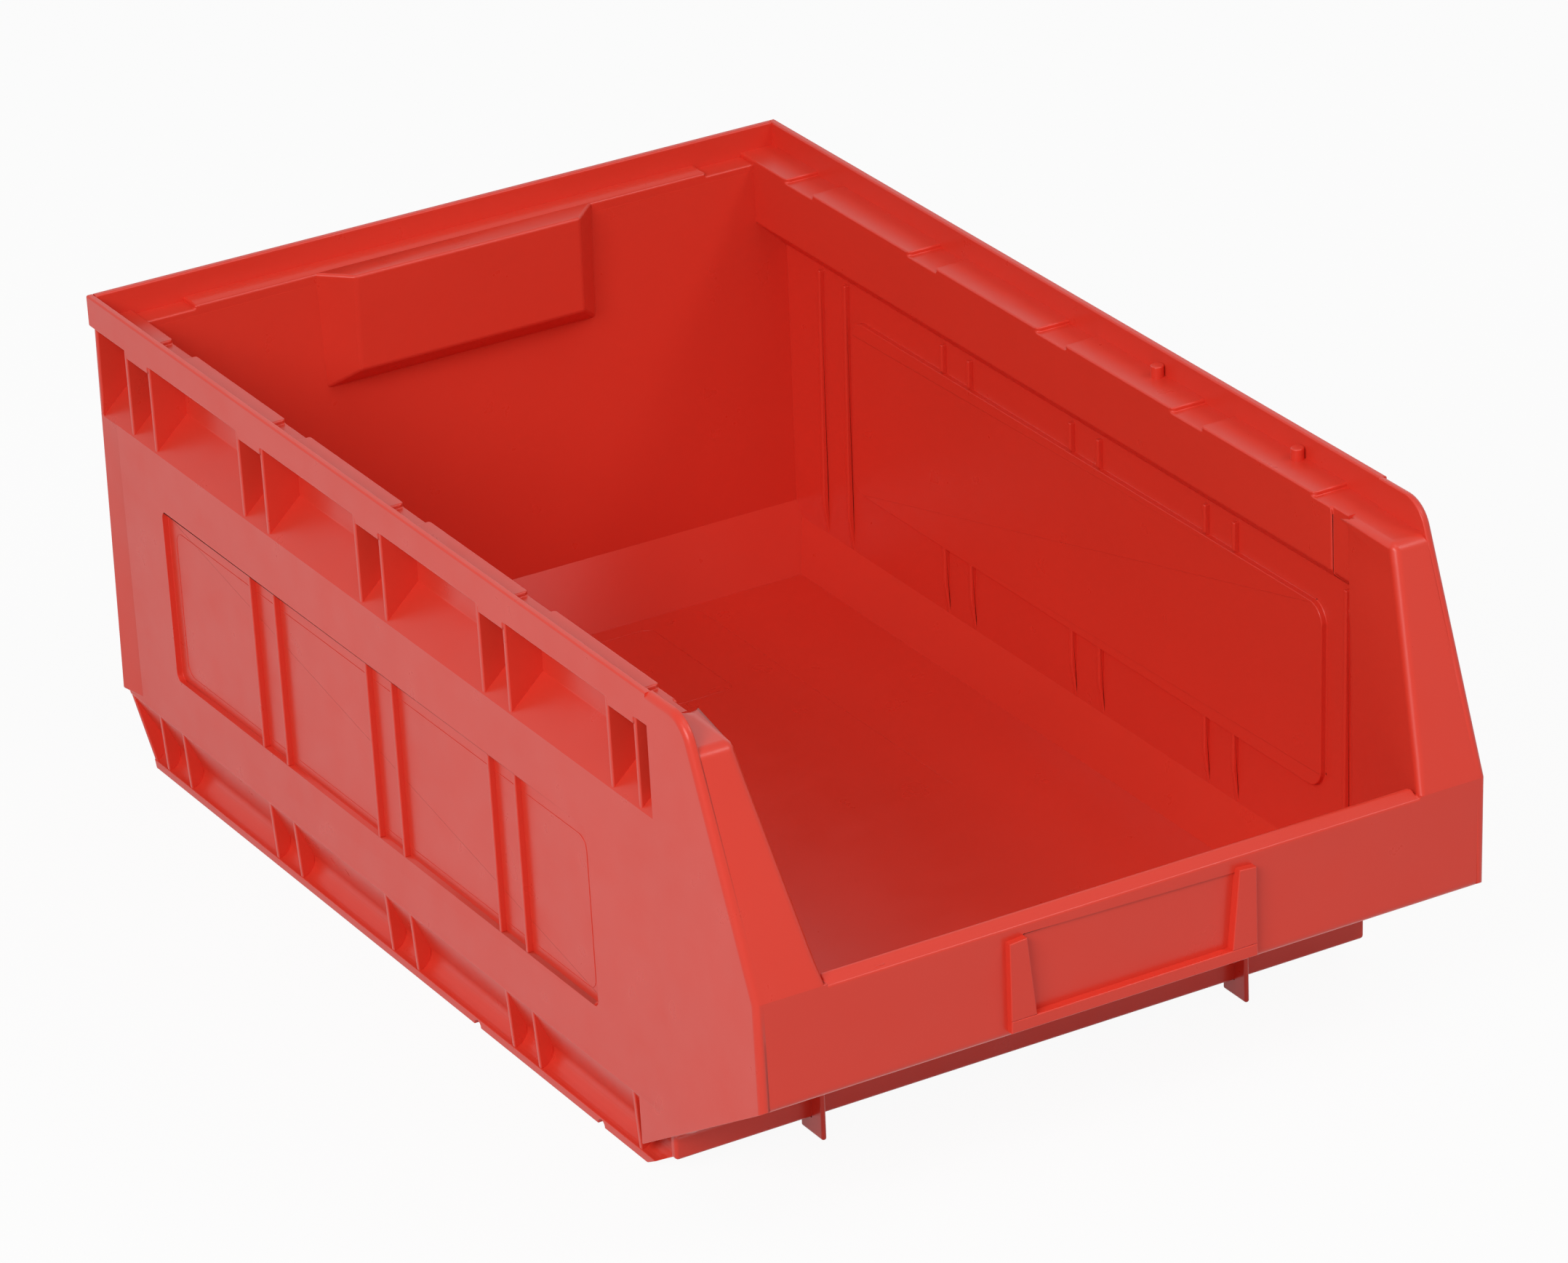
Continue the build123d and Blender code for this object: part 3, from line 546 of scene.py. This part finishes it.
def pathRidgeTree():
    tree = bpy.data.node_groups.new("pathRidge", "GeometryNodeTree")
    tree.is_modifier = True
    sockets = {}
    for name, kind in (("Path", "NodeSocketGeometry"), ("Corner Radius", "NodeSocketFloat"),
                       ("Ridge Radius", "NodeSocketFloat"), ("Plastic", "NodeSocketMaterial")):
        sockets[name] = tree.interface.new_socket(name, in_out="INPUT", socket_type=kind).identifier
    tree.interface.new_socket("Ridge", in_out="OUTPUT", socket_type="NodeSocketGeometry")
    given = addNode(tree, "NodeGroupInput").outputs
    curve = addNode(tree, "GeometryNodeMeshToCurve", links={0: given["Path"]})
    bent = addNode(tree, "GeometryNodeFilletCurve", {"mode": "POLY"},
                   {"Count": 6, "Limit Radius": True},
                   {"Curve": curve.outputs[0], "Radius": given["Corner Radius"]})
    ring = addNode(tree, "GeometryNodeCurvePrimitiveCircle", inputs={"Resolution": 8},
                   links={"Radius": given["Ridge Radius"]})
    ridge = addNode(tree, "GeometryNodeCurveToMesh", inputs={"Fill Caps": True},
                    links={"Curve": bent.outputs[0], "Profile Curve": ring.outputs[0]})
    plain = addNode(tree, "GeometryNodeRealizeInstances", links={0: ridge.outputs[0]})
    dressed = addNode(tree, "GeometryNodeSetMaterial",
                      links={"Geometry": plain.outputs[0], "Material": given["Plastic"]})
    addNode(tree, "NodeGroupOutput", links={0: dressed.outputs[0]})
    return tree, sockets


ridgeTree, ridgeSockets = pathRidgeTree()


def pathRidge(name, own):
    points = [Vector((x, y - ribSizes["middleMm"], z)) / 1000 for x, y, z in own["pathMm"]]
    pairs = [(i, i + 1) for i in range(len(points) - 1)]
    if own.get("closed"):
        pairs.append((len(points) - 1, 0))
    mesh = bpy.data.meshes.new(name)
    mesh.from_pydata(points, pairs, [])
    draft = linkToScene(bpy.data.objects.new(name + "Draft", mesh))
    ridge = draft.modifiers.new("ridge", "NODES")
    ridge.node_group = ridgeTree
    ridge[ridgeSockets["Corner Radius"]] = own.get("cornerMm", 0.0) / 1000
    ridge[ridgeSockets["Ridge Radius"]] = own["radiusMm"] / 1000
    ridge[ridgeSockets["Plastic"]] = redPlastic
    return bakedPiece(draft, name, [])


panelCorners = ((119, 55.5), (438, 55.5), (438, 117), (119, 117))    # (y, z) in mm
for side, prefix in ((-1, "left"), (1, "right")):
    witnessLines[prefix + "PanelFrame"] = {
        "pathMm": [(side * (sideOut(z, ribSizes) - ribSizes["panel"]["depthMm"]), y, z)
                   for y, z in panelCorners],
        "closed": True, "cornerMm": 5.0, "radiusMm": 0.2}
for name, own in witnessLines.items():
    pathRidge(name + "Line", own)
print("witness lines drawn:", len(witnessLines))


# pale floor and soft studio light

studio = {
    "floorColour": "#D9D9D7",
    "floorSize": 12.0,
    "floorGlow": 0.94,     # how much of the camera's view of the floor is plain white
    "worldStrength": 0.33,
    "lamps": {             # place, size in metres, power
        "keyLamp": ((-1.95, -1.35, 1.6), (1.3, 1.0), 39.0),
        "crispLamp": ((1.15, -1.25, 2.0), (0.6, 0.6), 9.0),
        "topLamp": ((0.0, -0.7, 2.2), (1.0, 1.0), 6.0),
    },
}


def rayMask(tree):
    # camera, glossy and transmission rays see the white backdrop
    path = addNode(tree, "ShaderNodeLightPath")
    first = addNode(tree, "ShaderNodeMath", {"operation": "MAXIMUM"},
                    links={0: path.outputs["Is Camera Ray"], 1: path.outputs["Is Glossy Ray"]})
    both = addNode(tree, "ShaderNodeMath", {"operation": "MAXIMUM"},
                   links={0: first.outputs[0], 1: path.outputs["Is Transmission Ray"]})
    return both.outputs[0]


def buildFloor(s):
    bm = bmesh.new()
    bmesh.ops.create_grid(bm, x_segments=1, y_segments=1, size=s["floorSize"] / 2)
    mesh = bpy.data.meshes.new("studioFloor")
    bm.to_mesh(mesh)
    bm.free()
    floor = linkToScene(bpy.data.objects.new("studioFloor", mesh))
    floor.location.z = -0.0002
    material = bpy.data.materials.new("paleFloorPaint")
    material.use_nodes = True
    tree = material.node_tree
    tree.nodes.clear()
    paint = addNode(tree, "ShaderNodeBsdfDiffuse", inputs={"Color": hexToLinear(s["floorColour"])})
    glow = addNode(tree, "ShaderNodeEmission", inputs={"Color": (1, 1, 1, 1), "Strength": 1.0})
    share = addNode(tree, "ShaderNodeMath", {"operation": "MULTIPLY"}, inputs={1: s["floorGlow"]},
                    links={0: rayMask(tree)})
    both = addNode(tree, "ShaderNodeMixShader", links={0: share.outputs[0], 1: paint.outputs[0],
                                                       2: glow.outputs[0]})
    addNode(tree, "ShaderNodeOutputMaterial", links={"Surface": both.outputs[0]})
    mesh.materials.append(material)


def softLamp(name, place, size, power):
    data = bpy.data.lights.new(name, "AREA")
    data.shape = "RECTANGLE"
    data.size, data.size_y = size
    data.energy = power
    lamp = linkToScene(bpy.data.objects.new(name, data))
    lamp.location = place
    lamp.rotation_euler = (Vector((0, 0, 0.1)) - Vector(place)).to_track_quat("-Z", "Y").to_euler()


def buildWorld(s):
    world = bpy.data.worlds.new("studioWorld")
    scene.world = world
    world.use_nodes = True
    tree = world.node_tree
    tree.nodes.clear()
    soft = addNode(tree, "ShaderNodeBackground",
                   inputs={"Color": (1, 1, 1, 1), "Strength": s["worldStrength"]})
    white = addNode(tree, "ShaderNodeBackground", inputs={"Color": (1, 1, 1, 1), "Strength": 1.0})
    both = addNode(tree, "ShaderNodeMixShader", links={0: rayMask(tree), 1: soft.outputs[0],
                                                       2: white.outputs[0]})
    addNode(tree, "ShaderNodeOutputWorld", links={"Surface": both.outputs[0]})


buildFloor(studio)
buildWorld(studio)
for name, (place, size, power) in studio["lamps"].items():
    softLamp(name, place, size, power)
scene.view_settings.view_transform = "Standard"
print("studio lit")
